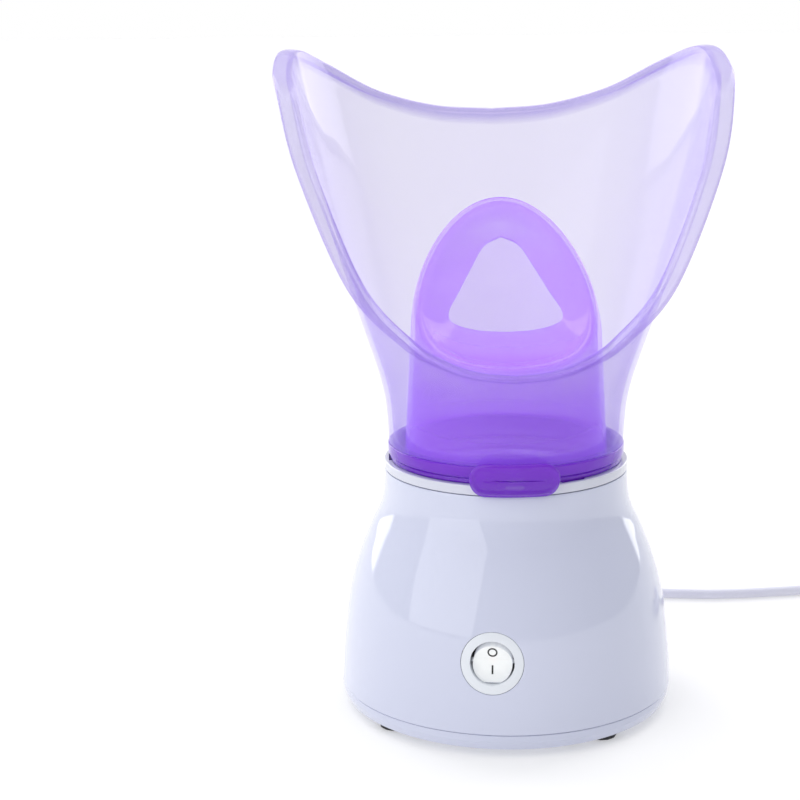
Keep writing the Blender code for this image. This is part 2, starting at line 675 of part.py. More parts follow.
def make_wiring():
    block = box("terminal_block", (26.0, 14.0, 12.0), WHITE)
    place(block, (-26.0, 36.0, PLATE_TOP + GAP + 6.0))
    bevel(block, 1.0, 1)
    clamp = box("cord_clamp", (20.0, 6.0, 3.0), BLACK)
    place(clamp, (0.0, CLAMP_Y, 14.2))
    bevel(clamp, 0.8, 1)
    inner = [(0.0, 73.6, OUTLET_Z), (0.0, 70.5, OUTLET_Z - 0.4), (0.0, 67.0, 17.0),
             (0.0, 63.8, 13.0), (0.0, 60.5, 10.2), (0.0, 57.0, 9.2), (0.0, 50.0, 9.2),
             (-3.0, 43.0, 9.2), (-7.0, 38.5, 9.2), (-12.0, 37.5, 9.2)]
    tube("inner_lead", inner, CORD_RADIUS, CORD_GREY)
    for index, across in enumerate((-7.5, 7.5)):
        post = cylinder("clamp_post_%d" % (index + 1), 2.5, 9.5, WHITE, 12)
        place(post, (across, CLAMP_Y, PLATE_TOP + GAP))
        profile = [(0.0, 18.0), (2.4, 18.0), (2.4, 16.0), (0.0, 16.0)]
        head = turned("clamp_screw_%d" % (index + 1), profile, STEEL, segments=8, closed=False)
        place(head, (across, CLAMP_Y, 0.0))
    live = through_points([(-30.0, 28.6, 10.0), (-31.0, 16.0, 13.0), (-24.0, -10.0, 20.0),
                           (-10.0, -30.0, 32.0), (-6.0, -37.0, 36.0)], 3)
    tube("wire_live", live, 0.9, WIRE_BROWN, 1)
    switched = through_points([(6.0, -37.0, 36.0), (12.0, -28.0, 40.0), (20.0, -10.0, 55.0),
                               (14.0, 6.0, 66.0), (8.0, 10.0, 71.5)], 3)
    tube("wire_switched", switched, 0.9, WIRE_BROWN, 1)
    neutral = through_points([(-22.0, 28.6, 10.0), (-20.0, 18.0, 16.0), (-14.0, 6.0, 40.0),
                              (-10.0, 4.0, 60.0), (-9.5, 4.0, 71.8)], 3)
    tube("wire_neutral", neutral, 0.9, WIRE_BLUE, 1)


# ---------------------------------------------------------------- mains lead and plug

def make_lead():
    relief = [(0.0, 74.0), (7.0, 74.0), (7.0, 78.5), (4.5, 78.8), (4.5, 83.3), (6.4, 83.6),
              (6.4, 86.0), (5.4, 88.0), (3.6, RELIEF_END_Y), (0.0, RELIEF_END_Y)]
    profile = [(radius, -distance) for radius, distance in relief]
    gland = turned("strain_relief", profile, CORD_GREY, segments=16, closed=False)
    place(gland, (0.0, 0.0, OUTLET_Z), (90.0, 0.0, 0.0))
    tube("cord_free", through_points(CORD_ROUTE, 2), CORD_RADIUS, CORD_GREY)
    top = COIL_BOTTOM + COIL_HEIGHT
    round_by = 2.2
    profile = [(COIL_OUTER - round_by, top), (COIL_OUTER, top - round_by),
               (COIL_OUTER, COIL_BOTTOM + round_by), (COIL_OUTER - round_by, COIL_BOTTOM),
               (COIL_INNER + round_by, COIL_BOTTOM), (COIL_INNER, COIL_BOTTOM + round_by),
               (COIL_INNER, top - round_by), (COIL_INNER + round_by, top)]
    coil = turned("cord_coil", profile, CORD_GREY, segments=24)
    place(coil, (*COIL_CENTRE, 0.0))
    make_tie()
    make_plug()


def make_tie():
    wide = COIL_OUTER - COIL_INNER + 2.0 * TIE_SLACK
    high = COIL_HEIGHT + 2.0 * GAP
    strap = 0.8
    tie = box("cord_tie", (wide + 2.0 * strap, 8.0, high + 2.0 * strap), BLACK)
    middle = ((COIL_INNER + COIL_OUTER) / 2.0 + COIL_CENTRE[0], COIL_CENTRE[1],
              COIL_BOTTOM + COIL_HEIGHT / 2.0)
    place(tie, middle)
    bore = box("cut_tie", (wide, 12.0, high), None, CUTTERS)
    place(bore, middle)
    boolean(tie, bore, "DIFFERENCE")


def make_plug():
    body = box("plug_body", (34.0, 26.0, 13.6), BLACK)
    centre = (*PLUG_CENTRE, TABLE_Z + 0.1 + 6.8)
    place(body, centre)
    bevel(body, 3.0, 3)
    for index, across in enumerate((-9.5, 9.5)):
        pin = cylinder("plug_pin_%d" % (index + 1), 2.0, 19.0, BRASS, 12)
        place(pin, (centre[0] + 17.0 + GAP, centre[1] + across, centre[2]), (0.0, 90.0, 0.0))


make_base_plate()
make_feet()
make_base_screws()
make_housing()
make_collar()
make_dish()
make_heater()
make_seal()
make_twist_ring()
make_face_mask()
make_nose_inhaler()
make_bezel()
make_rocker()
make_switch_inside()
make_wiring()
make_lead()
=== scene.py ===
"""Looks of the facial steamer: fine meshes, clear violet plastics, the mains lead and a studio."""
import math

import bmesh
import bpy
from mathutils import Matrix, Vector


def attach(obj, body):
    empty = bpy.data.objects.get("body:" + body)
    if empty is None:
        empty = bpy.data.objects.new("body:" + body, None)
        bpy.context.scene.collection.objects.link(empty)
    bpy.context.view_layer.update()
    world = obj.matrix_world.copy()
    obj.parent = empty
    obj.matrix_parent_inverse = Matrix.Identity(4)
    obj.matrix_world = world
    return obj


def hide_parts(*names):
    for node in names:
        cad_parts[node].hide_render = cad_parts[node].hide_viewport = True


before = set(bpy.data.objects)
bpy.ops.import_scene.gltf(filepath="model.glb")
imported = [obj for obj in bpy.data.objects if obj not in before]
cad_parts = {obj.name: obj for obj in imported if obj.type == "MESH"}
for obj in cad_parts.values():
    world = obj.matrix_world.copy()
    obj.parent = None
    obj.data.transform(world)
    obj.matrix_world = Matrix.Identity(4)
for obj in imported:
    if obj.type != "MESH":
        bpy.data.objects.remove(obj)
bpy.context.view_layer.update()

MM = 0.001
TABLE_Z = -3.0

# Shared with the solids, in millimetres
TOP_TURN = math.radians(8.4)
HOUSING_TOP = 116.6
HOUSING_WALL = 2.4
HOUSING_OUTLINE = [(59.9, 116.6), (60.9, 105.0), (62.9, 97.0), (67.5, 87.0), (73.5, 72.0),
                   (77.8, 57.0), (80.2, 42.0), (81.8, 27.0), (82.6, 15.0), (83.0, 8.5)]
SEAM_Z = 8.2
SEAM_RADIUS = 83.0
PLATE_RADIUS = 80.7
FOOT_RING = 70.5
COLLAR_RADIUS = 60.0
COLLAR_TOP = 121.6
RING_RADIUS = 58.2
RING_TOP = 130.0
TAB_RADIUS = 64.0
TAB_WIDTH = 44.0
TAB_HEIGHT = 15.8
TAB_CENTRE_Z = 125.1
MASK_WALL = 2.2
MASK_NECK_Z = 130.3
FLARE_START_Z = 133.3
LIP_WIDTH = 7.8
LIP_DROP = 0.6
LIP_EDGE = [(0.0, -74.5, 174.0), (18.0, -71.8, 175.3), (34.0, -66.5, 179.4),
            (51.6, -58.5, 188.3), (76.3, -44.0, 212.5), (99.1, -26.0, 263.8),
            (108.7, 0.0, 297.1), (112.4, 30.0, 309.5), (109.4, 63.0, 317.4),
            (94.5, 94.5, 310.0), (66.5, 114.0, 295.3), (32.5, 119.5, 286.4),
            (0.0, 119.5, 284.2)]
NOSE_WALL = 2.2
NOSE_BASE_RADIUS = 49.9
NOSE_TOP_RADIUS = 46.0
NOSE_TAPER_HEIGHT = 72.0
NOSE_BOTTOM = 124.8
HOLE_EDGE = [(0.0, -8.0, 0.0), (12.0, -7.2, 0.0), (22.0, -4.8, 0.0), (27.2, -1.4, 0.0),
             (27.2, 4.0, 0.0), (21.5, 13.5, 0.0), (15.0, 23.0, 0.0), (8.5, 30.5, 0.0),
             (0.0, 33.5, 0.0)]
SWITCH_Z = 42.5
SWITCH_SKIN_Y = -80.1
SWITCH_LEAN = 7.3
BEZEL_RADIUS = 14.6
OPENING_RADIUS = 10.4
ROCKER_RADIUS = 9.2
ROCKER_TIP_RADIUS = 10.6
ROCKER_TILT = 20.0
ROCKER_VALLEY_UP = 2.0
PIVOT_DEPTH = 8.0
OUTLET_Z = 20.0
RELIEF_END_Y = 115.0

# Mains lead
CORD_RADIUS = 2.75
CORD_ROUTE = [(0.0, 115.3, 20.0), (0.0, 124.0, 19.2), (0.8, 134.0, 15.0), (3.5, 143.5, 8.4),
              (9.0, 151.0, 2.9), (17.5, 155.6, 0.3), (28.0, 157.2, 0.0), (40.0, 157.0, 0.0),
              (54.0, 155.8, 0.0), (68.0, 154.6, 0.0), (82.7, 154.0, 0.0), (97.0, 154.2, 0.0),
              (110.7, 155.1, 0.0), (128.0, 158.3, 0.0), (145.0, 162.8, 0.0), (162.2, 167.9, 0.0),
              (173.0, 175.0, 0.0), (182.6, 182.4, 0.0)]
COIL_CENTRE = (221.3, 167.6)
COIL_START = math.radians(122.0)
COIL_TURNS = 5.86
COIL_RADII = (35.5, 24.5)
COIL_LOW = 0.9
COIL_HIGH = 6.4
TAIL_ROUTE = [(196.5, 197.5, 6.6), (203.5, 208.5, 3.6), (211.5, 217.0, 2.0), (221.6, 221.0, 3.8)]
PLUG_CENTRE = (241.0, 221.0)

# Camera
CAMERA_AZIMUTH = 4.3
CAMERA_DISTANCE = 0.8255
CAMERA_HEIGHT = 0.3324
CAMERA_PITCH = 12.47
CAMERA_YAW = 3.62
CAMERA_ROLL = -0.65
CAMERA_LENS = 77.0

# Studio. Angles are in degrees round from straight behind the object: from BAND_START to
# TENT_EDGE the tent is lit brightly, and past TENT_EDGE it is open to a dimmer room.
BAND_START = 24.0
BAND_STRENGTH = 2.7
TENT_EDGE = 57.0
TENT_TURN = 8.0
TENT_BLUR = 2.0
CEILING_START = 0.88
CEILING_END = 0.80
ROOM_COLOUR = (0.50, 0.51, 0.53)
FLOOR_COLOUR = (0.60, 0.60, 0.602)
FLOOR_GLOW = 0.38
FLOOR_REACH = 40000.0


def scaled(point):
    """A point in millimetres as a vector in metres."""
    return Vector([value * MM for value in point])


def through_points(points, per_span):
    """Smooth curve through the points: Catmull-Rom, with per_span steps in each span."""
    knots = [Vector(point) for point in points]
    knots = [knots[0] * 2.0 - knots[1]] + knots + [knots[-1] * 2.0 - knots[-2]]
    result = []
    for i in range(1, len(knots) - 2):
        p0, p1, p2, p3 = knots[i - 1:i + 3]
        for step in range(per_span):
            t = step / per_span
            result.append(0.5 * (2.0 * p1 + (p2 - p0) * t
                                 + (2.0 * p0 - 5.0 * p1 + 4.0 * p2 - p3) * t ** 2
                                 + (3.0 * p1 - p0 - 3.0 * p2 + p3) * t ** 3))
    result.append(knots[-2])
    return result


def polar(radius, angle, height=0.0):
    """Angle in degrees, counted from the front (-Y) towards +X."""
    turn = math.radians(angle)
    return (radius * math.sin(turn), -radius * math.cos(turn), height)


# ---------------------------------------------------------------- materials

# Scale of the fine noise against the broad one
FINE_GRAIN = 22.0
# Clear plastics: gloss, cloudiness of the tint, how fast the edge-on look sets in, how much the
# tint darkens there, the steepness between which a wall counts as facing up, and how far up the
# lowest part reaches
CLEAR_ROUGHNESS = 0.07
TINT_DRIFT = 0.16
EDGE_POWER = 2.6
EDGE_SHADE = 0.8
UPWARD_START, UPWARD_END = 0.25, 0.62
FOOT_REACH = 0.55


def node_material(name, colour, roughness, metallic=0.0, coat=0.0):
    """A material with the values that are the same all over its surface."""
    material = bpy.data.materials.new(name)
    material.use_nodes = True
    shader = material.node_tree.nodes["Principled BSDF"]
    shader.inputs["Base Color"].default_value = (*colour, 1.0)
    shader.inputs["Roughness"].default_value = roughness
    shader.inputs["Metallic"].default_value = metallic
    shader.inputs["Coat Weight"].default_value = coat
    shader.inputs["Coat Roughness"].default_value = 0.03
    return material


def add_node(owner, kind, **values):
    """A node in a material or world, with its inputs or, failing that, its settings filled in."""
    node = owner.node_tree.nodes.new(kind)
    for key, value in values.items():
        if key in node.inputs:
            node.inputs[key].default_value = value
        else:
            setattr(node, key, value)
    return node


def join(owner, source, output, target, socket):
    """Link an output of one node to an input of another."""
    owner.node_tree.links.new(source.outputs[output], target.inputs[socket])


def remap(owner, source, output, start, end):
    """A clamped straight run: from start = (in, out) to end = (in, out)."""
    node = add_node(owner, "ShaderNodeMapRange")
    node.inputs["From Min"].default_value, node.inputs["To Min"].default_value = start
    node.inputs["From Max"].default_value, node.inputs["To Max"].default_value = end
    join(owner, source, output, node, "Value")
    return node


def mix_colours(owner, source, output, low, high):
    """A colour between low and high, by the value of an output."""
    node = add_node(owner, "ShaderNodeMix", data_type="RGBA")
    node.inputs["A"].default_value = (*low, 1.0)
    node.inputs["B"].default_value = (*high, 1.0)
    join(owner, source, output, node, "Factor")
    return node


def calculate(owner, operation, *terms):
    """A Math node on terms that are each a number or a (node, output) pair."""
    node = add_node(owner, "ShaderNodeMath", operation=operation)
    for index, term in enumerate(terms):
        if isinstance(term, tuple):
            join(owner, *term, node, index)
        else:
            node.inputs[index].default_value = term
    return node


def noise(owner, where, scale, detail):
    """Noise in the object's own space."""
    node = add_node(owner, "ShaderNodeTexNoise", Scale=scale, Detail=detail)
    join(owner, where, "Object", node, "Vector")
    return node


def grain(material, colour, spread, scale, bump, roughness):
    """Mottled colour, uneven gloss and a moulded surface from noise in the object's own space."""
    shader = material.node_tree.nodes["Principled BSDF"]
    where = add_node(material, "ShaderNodeTexCoord")
    broad = noise(material, where, scale, 4.0)
    fine = noise(material, where, scale * FINE_GRAIN, 2.0)
    low = [channel * (1.0 - spread) for channel in colour]
    high = [min(channel * (1.0 + spread), 1.0) for channel in colour]
    tint = mix_colours(material, broad, "Fac", low, high)
    join(material, tint, "Result", shader, "Base Color")
    gloss = remap(material, broad, "Fac", (0.0, roughness * 0.8), (1.0, roughness * 1.25))
    join(material, gloss, "Result", shader, "Roughness")
    relief = add_node(material, "ShaderNodeBump", Strength=bump, Distance=0.0002)
    join(material, fine, "Fac", relief, "Height")
    join(material, relief, "Normal", shader, "Normal")
    return material


def moulded(name, colour, roughness=0.3, spread=0.015, bump=0.02, coat=0.0):
    """Moulded plastic or rubber."""
    return grain(node_material(name, colour, roughness, coat=coat), colour, spread, 14.0, bump,
                 roughness)


def metal(name, colour, roughness=0.3, bump=0.12):
    """Bare metal with a drawn or cast surface."""
    return grain(node_material(name, colour, roughness, metallic=1.0), colour, 0.05, 60.0, bump,
                 roughness)


def clear_tint(material, low, high, rise, cloud, edge_on):
    """Tint that runs with height, a little uneven, and deepens where the wall is seen edge on."""
    shader = material.node_tree.nodes["Principled BSDF"]
    drift = calculate(material, "MULTIPLY_ADD", (cloud, "Fac"), TINT_DRIFT, (rise, "Result"))
    tint = mix_colours(material, drift, "Value", low, high)
    shade = (low[0] * EDGE_SHADE, low[1] * EDGE_SHADE, low[2])
    deep = mix_colours(material, edge_on, "Value", low, shade)
    join(material, tint, "Result", deep, "A")
    join(material, deep, "Result", shader, "Base Color")
    # The tint is also the emission colour: painted light standing in for light passed through the
    # plastic
    join(material, deep, "Result", shader, "Emission Color")


def clear_opacity(material, face, edge, rise, edge_on, top, foot, rim):
    """Opacity from face to edge, with more on upward walls, the lowest part and marked rims."""
    shader = material.node_tree.nodes["Principled BSDF"]
    wall = remap(material, edge_on, "Value", (0.0, face), (1.0, edge))
    surface = add_node(material, "ShaderNodeNewGeometry")
    facing = add_node(material, "ShaderNodeSeparateXYZ")
    join(material, surface, "Normal", facing, "Vector")
    level = calculate(material, "ABSOLUTE", (facing, "Z"))
    upward = remap(material, level, "Value", (UPWARD_START, 0.0), (UPWARD_END, top))
    total = calculate(material, "ADD", (wall, "Result"), (upward, "Result"))
    total.use_clamp = True
    lowest = remap(material, rise, "Result", (0.0, foot), (FOOT_REACH, 0.0))
    marked = add_node(material, "ShaderNodeAttribute", attribute_name="rim")
    extra = calculate(material, "MULTIPLY_ADD", (marked, "Fac"), rim, (lowest, "Result"))
    opaque = calculate(material, "ADD", (total, "Value"), (extra, "Value"))
    opaque.use_clamp = True
    join(material, opaque, "Value", shader, "Alpha")


def clear_plastic(name, low, high, heights, face, edge, top=0.0, foot=0.0, rim=0.0, painted_glow=0.3):
    """Clear tinted plastic: opacity rises where the wall is seen edge on, tint runs with height.

    top is the extra opacity of the walls that face upwards, foot that of the lowest part and rim
    that of the points marked as a thick rim. The emission strength is painted light: it makes the
    plastic shine in its tint colour, standing in for the light that the tint passes on."""
    material = node_material(name, low, CLEAR_ROUGHNESS, coat=0.35)
    shader = material.node_tree.nodes["Principled BSDF"]
    # Painted light: emission in the tint colour that stands in for light passing through the plastic
    shader.inputs["Emission Strength"].default_value = painted_glow
    where = add_node(material, "ShaderNodeTexCoord")
    split = add_node(material, "ShaderNodeSeparateXYZ")
    join(material, where, "Object", split, "Vector")
    rise = remap(material, split, "Z", (heights[0] * MM, 0.0), (heights[1] * MM, 1.0))
    cloud = noise(material, where, 18.0, 3.0)
    glance = add_node(material, "ShaderNodeLayerWeight", Blend=0.5)
    edge_on = calculate(material, "POWER", (glance, "Facing"), EDGE_POWER)
    clear_tint(material, low, high, rise, cloud, edge_on)
    clear_opacity(material, face, edge, rise, edge_on, top, foot, rim)
    gloss = remap(material, cloud, "Fac", (0.0, CLEAR_ROUGHNESS * 0.7), (1.0, CLEAR_ROUGHNESS * 1.6))
    join(material, gloss, "Result", shader, "Roughness")
    waves = add_node(material, "ShaderNodeBump", Strength=0.05, Distance=0.001)
    join(material, cloud, "Fac", waves, "Height")
    join(material, waves, "Normal", shader, "Normal")
    return material


HOUSING_WHITE = moulded("housing_white", (0.60, 0.625, 0.77), 0.05, 0.006, 0.0, coat=0.5)
COLLAR_WHITE = moulded("collar_white", (0.62, 0.635, 0.73), 0.12, 0.006, 0.0, coat=0.4)
BEZEL_WHITE = moulded("bezel_white", (0.76, 0.79, 0.84), 0.2, 0.006, 0.005, coat=0.2)
MASK_LILAC = clear_plastic("mask_lilac", (0.27, 0.13, 0.68), (0.29, 0.21, 0.64), (130.0, 300.0),
                           0.18, 0.52, rim=0.12, painted_glow=0.15)
NOSE_VIOLET = clear_plastic("nose_violet", (0.34, 0.09, 0.80), (0.36, 0.145, 0.74), (128.0, 200.0),
                            0.17, 0.55, top=0.28, foot=0.42, painted_glow=0.4)
RING_VIOLET = clear_plastic("ring_violet", (0.13, 0.006, 0.48), (0.17, 0.010, 0.56), (118.0, 130.0),
                            0.66, 0.92, painted_glow=0.15)
ROCKER_CLEAR = clear_plastic("rocker_clear", (0.88, 0.90, 0.90), (0.96, 0.97, 0.96), (30.0, 54.0),
                             0.70, 0.9, painted_glow=0.2)
MARK_BLACK = moulded("mark_black", (0.012, 0.012, 0.012), 0.45)
SWITCH_BLACK = moulded("switch_black", (0.025, 0.025, 0.03), 0.4, 0.1, 0.1)
RUBBER = moulded("foot_rubber", (0.03, 0.03, 0.035), 0.75, 0.2, 0.5)
SILICONE = moulded("seal_silicone", (0.72, 0.72, 0.70), 0.5, 0.04, 0.15)
SHEATH = moulded("lead_sheath", (0.74, 0.74, 0.84), 0.42, 0.04, 0.12)
PLUG_GREY = moulded("plug_grey", (0.58, 0.58, 0.71), 0.45, 0.04, 0.2)
STRAP_BLACK = moulded("strap_black", (0.03, 0.03, 0.035), 0.7, 0.3, 0.8)
WIRING_WHITE = moulded("wiring_white", (0.78, 0.78, 0.76), 0.45, 0.03, 0.1)
PHENOLIC = moulded("phenolic_brown", (0.09, 0.035, 0.018), 0.5, 0.2, 0.2)
WIRE_BLUE = moulded("wire_blue", (0.02, 0.08, 0.40), 0.4, 0.1, 0.1)
WIRE_BROWN = moulded("wire_brown", (0.16, 0.06, 0.025), 0.4, 0.1, 0.1)
LAMP_GLASS = moulded("lamp_glass", (0.9, 0.30, 0.10), 0.1, 0.1, 0.05, coat=0.5)
ALUMINIUM = metal("dish_aluminium", (0.80, 0.81, 0.83), 0.28)
STEEL = metal("zinc_steel", (0.62, 0.63, 0.65), 0.34)
BRASS = metal("contact_brass", (0.80, 0.60, 0.26), 0.26)


# ---------------------------------------------------------------- mesh helpers

def finish_mesh(name, bm, material, angle=40.0):
    """Scale a millimetre bmesh to metres and put it in the scene, smooth with crisp edges."""
    bmesh.ops.scale(bm, vec=(MM, MM, MM), verts=bm.verts)
    bmesh.ops.recalc_face_normals(bm, faces=bm.faces)
    mesh = bpy.data.meshes.new(name)
    bm.to_mesh(mesh)
    bm.free()
    item = bpy.data.objects.new(name, mesh)
    bpy.context.scene.collection.objects.link(item)
    if material:
        mesh.materials.append(material)
    mesh.shade_smooth()
    mesh.set_sharp_from_angle(angle=math.radians(angle))
    return item


def ring_stack(name, rings, material, closed=False, capped=False, angle=40.0):
    """A skin through rings of equal point counts. closed joins the last ring to the first."""
    bm = bmesh.new()
    levels = [[bm.verts.new(point) for point in ring] for ring in rings]
    pairs = list(zip(levels, levels[1:]))
    if closed:
        pairs.append((levels[-1], levels[0]))
    count = len(rings[0])
    for low, high in pairs:
        for i in range(count):
            j = (i + 1) % count
            bm.faces.new((low[i], low[j], high[j], high[i]))
    if capped:
        bm.faces.new(levels[0])
        bm.faces.new(levels[-1])
    return finish_mesh(name, bm, material, angle)


def fillet(profile, radius, closed=True, steps=4):
    """Round the corners of a (radius, height) outline."""
    result = []
    count = len(profile)
    for i, corner in enumerate(profile):
        if not closed and i in (0, count - 1):
            result.append(corner)
            continue
        here = Vector(corner)
        to_before = Vector(profile[i - 1]) - here
        to_after = Vector(profile[(i + 1) % count]) - here
        reach = min(radius, to_before.length * 0.45, to_after.length * 0.45)
        start = here + to_before.normalized() * reach
        end = here + to_after.normalized() * reach
        for step in range(steps + 1):
            t = step / steps
            point = start * (1 - t) ** 2 + here * 2 * t * (1 - t) + end * t ** 2
            result.append((point.x, point.y))
    return result


def turned(name, profile, material, segments=144, closed=True, angle=40.0):
    """A (radius, height) outline turned about Z. An open one starts and ends on the axis."""
    rings = []
    for radius, height in profile:
        if closed or radius > 0.01:
            rings.append([polar(radius, 360.0 * i / segments, height) for i in range(segments)])
    if closed:
        return ring_stack(name, rings, material, closed=True, angle=angle)
    return ring_stack(name, rings, material, capped=True, angle=angle)


def cylinder(radius, height, segments=48):
    """A plain cylinder about Z from z = 0, for cutting."""
    return turned("cutter", [(0.0, height), (radius, height), (radius, 0.0), (0.0, 0.0)], None,
                  segments, closed=False)


def block(size, centre=(0.0, 0.0, 0.0)):
    """A plain box, for cutting."""
    bm = bmesh.new()
    bmesh.ops.create_cube(bm, size=1.0)
    bmesh.ops.scale(bm, vec=size, verts=bm.verts)
    bmesh.ops.translate(bm, vec=centre, verts=bm.verts)
    return finish_mesh("cutter", bm, None)


def freeze(item, angle=40.0):
    """Make an object's modifiers and placing part of its mesh."""
    bpy.context.view_layer.update()
    graph = bpy.context.evaluated_depsgraph_get()
    mesh = bpy.data.meshes.new_from_object(item.evaluated_get(graph))
    mesh.transform(item.matrix_world)
    item.modifiers.clear()
    item.data = mesh
    item.matrix_world = Matrix.Identity(4)
    mesh.shade_smooth()
    mesh.set_sharp_from_angle(angle=math.radians(angle))
    return item


def carve(item, tool, operation="DIFFERENCE", angle=40.0):
    """Cut, join or trim item with tool, then drop the tool."""
    modifier = item.modifiers.new("carve", "BOOLEAN")
    modifier.operation = operation
    modifier.solver = "EXACT"
    modifier.object = tool
    freeze(item, angle)
    bpy.data.objects.remove(tool, do_unlink=True)
    return item


def soften(item, width, segments=3, angle=40.0):
    """Round the sharp edges with a bevel."""
    modifier = item.modifiers.new("soften", "BEVEL")
    modifier.width = width * MM
    modifier.segments = segments
    modifier.limit_method = "ANGLE"
    modifier.angle_limit = math.radians(angle)
    modifier.harden_normals = False
    return freeze(item, angle)


def piece(item, body, slot, *nodes):
    """Let item ride on a body and hide the solids that it stands for. slot is not used."""
    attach(item, body)
    if nodes:
        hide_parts(*nodes)
    return item


# ---------------------------------------------------------------- camera and mains lead

def make_camera():
    """The camera of the photo."""
    data = bpy.data.cameras.new("camera")
    data.lens = CAMERA_LENS
    data.sensor_width = 36.0
    camera = bpy.data.objects.new("camera", data)
    azimuth = math.radians(CAMERA_AZIMUTH)
    spot = Vector((CAMERA_DISTANCE * math.sin(azimuth), -CAMERA_DISTANCE * math.cos(azimuth),
                   CAMERA_HEIGHT))
    camera.matrix_world = (Matrix.Translation(spot)
                           @ Matrix.Rotation(math.radians(CAMERA_AZIMUTH + CAMERA_YAW), 4, "Z")
                           @ Matrix.Rotation(math.radians(90.0 - CAMERA_PITCH), 4, "X")
                           @ Matrix.Rotation(math.radians(CAMERA_ROLL), 4, "Z"))
    bpy.context.scene.collection.objects.link(camera)
    bpy.context.scene.camera = camera


def coil_points():
    """Two turns wind in on the table, the third climbs and the rest wind out on top of them."""
    outer, inner = COIL_RADII
    turns = COIL_TURNS
    steps = int(turns * 20)
    points = []
    for step in range(steps + 1):
        turn = turns * step / steps
        if turn < 2.0:
            radius = outer + (inner - outer) * turn / 2.0
            height = COIL_LOW
        elif turn < 3.0:
            climb = turn - 2.0
            radius = inner - 1.8 * math.sin(math.pi * climb)
            height = COIL_LOW + (COIL_HIGH - COIL_LOW) * climb ** 2 * (3.0 - 2.0 * climb)
        else:
            radius = min(inner + (outer - inner) * (turn - 3.0) / 2.0, outer)
            height = COIL_HIGH
        angle = COIL_START - 2.0 * math.pi * turn
        points.append((COIL_CENTRE[0] + radius * math.cos(angle),
                       COIL_CENTRE[1] + radius * math.sin(angle), height))
    return points


def make_lead():
    """The cord from its outlet through the coil to the plug, with the parts that hang on it."""
    route = CORD_ROUTE + coil_points() + TAIL_ROUTE
    points = through_points(route, 4)
    curve = bpy.data.curves.new("mains_lead", "CURVE")
    curve.dimensions = "3D"
    curve.bevel_depth = CORD_RADIUS * MM
    curve.bevel_resolution = 5
    curve.use_fill_caps = True
    spline = curve.splines.new("POLY")
    spline.points.add(len(points) - 1)
    for target, point in zip(spline.points, points):
        target.co = (*scaled(point), 1.0)
    spline.use_smooth = True
    lead = bpy.data.objects.new("mains_lead", curve)
    curve.materials.append(SHEATH)
    bpy.context.scene.collection.objects.link(lead)
    piece(lead, "base", "lead_sheath", "cord_free", "cord_coil")
    relief = make_relief()
    plug = make_plug()
    tie = make_tie()


def make_relief():
    """Tapered strain relief with flexing grooves."""
    profile = [(0.0, -74.0), (7.0, -74.0), (7.0, -78.5), (4.5, -78.8), (4.5, -83.3),
               (6.4, -83.6), (6.4, -86.0), (5.5, -87.4)]
    start, end = 88.0, RELIEF_END_Y - 1.0
    for index in range(7):
        at = start + (end - start) * index / 7.0
        radius = 5.4 + (3.6 - 5.4) * index / 7.0
        profile += [(radius, -at), (radius - 0.1, -at - 1.9), (radius - 0.9, -at - 2.3),
                    (radius - 0.9, -at - 3.2)]
    profile += [(3.6, -end), (3.3, -RELIEF_END_Y), (0.0, -RELIEF_END_Y)]
    relief = turned("strain_relief_sleeve", profile, SHEATH, 48, closed=False)
    relief.matrix_world = (Matrix.Translation(scaled((0.0, 0.0, OUTLET_Z)))
                           @ Matrix.Rotation(math.radians(90.0), 4, "X"))
    freeze(relief)
    return piece(relief, "base", "lead_sheath", "strain_relief")


def plug_section(across, high, corner, x):
    """A rounded rectangle square to X."""
    points = []
    for quarter in range(4):
        middle_y = (across - corner) * (1 if quarter in (0, 3) else -1)
        middle_z = (high - corner) * (1 if quarter in (0, 1) else -1)
        for step in range(7):
            angle = math.radians(90.0 * quarter + 15.0 * step)
            points.append((x, middle_y + corner * math.cos(angle),
                           middle_z + corner * math.sin(angle)))
    return points


def make_plug():
    """Two-pin plug body with a waisted grip, lying flat."""
    rings = []
    for x, across, high, corner in ((-16.9, 4.0, 3.4, 2.6), (-16.0, 5.2, 4.6, 3.0),
                                    (-11.0, 7.0, 5.4, 3.6), (-6.0, 8.6, 5.8, 4.0),
                                    (0.0, 10.4, 6.2, 4.0), (6.0, 12.0, 6.6, 3.4),
                                    (10.0, 12.8, 6.7, 3.0), (15.5, 12.9, 6.7, 2.6),
                                    (16.6, 12.5, 6.3, 2.4), (17.0, 11.6, 5.6, 2.2)):
        rings.append(plug_section(across, high, corner, x))
    plug = ring_stack("plug_shell", rings, PLUG_GREY, capped=True, angle=50.0)
    for side in (-1.0, 1.0):
        for index in range(5):
            groove = block((1.1, 30.0, 1.4), (-9.0 + 3.0 * index, 0.0, side * 6.7))
            carve(plug, groove, angle=50.0)
    plug.matrix_world = Matrix.Translation(scaled((*PLUG_CENTRE, TABLE_Z + 6.9)))
    freeze(plug, 50.0)
    return piece(plug, "base", "plug_black", "plug_body")


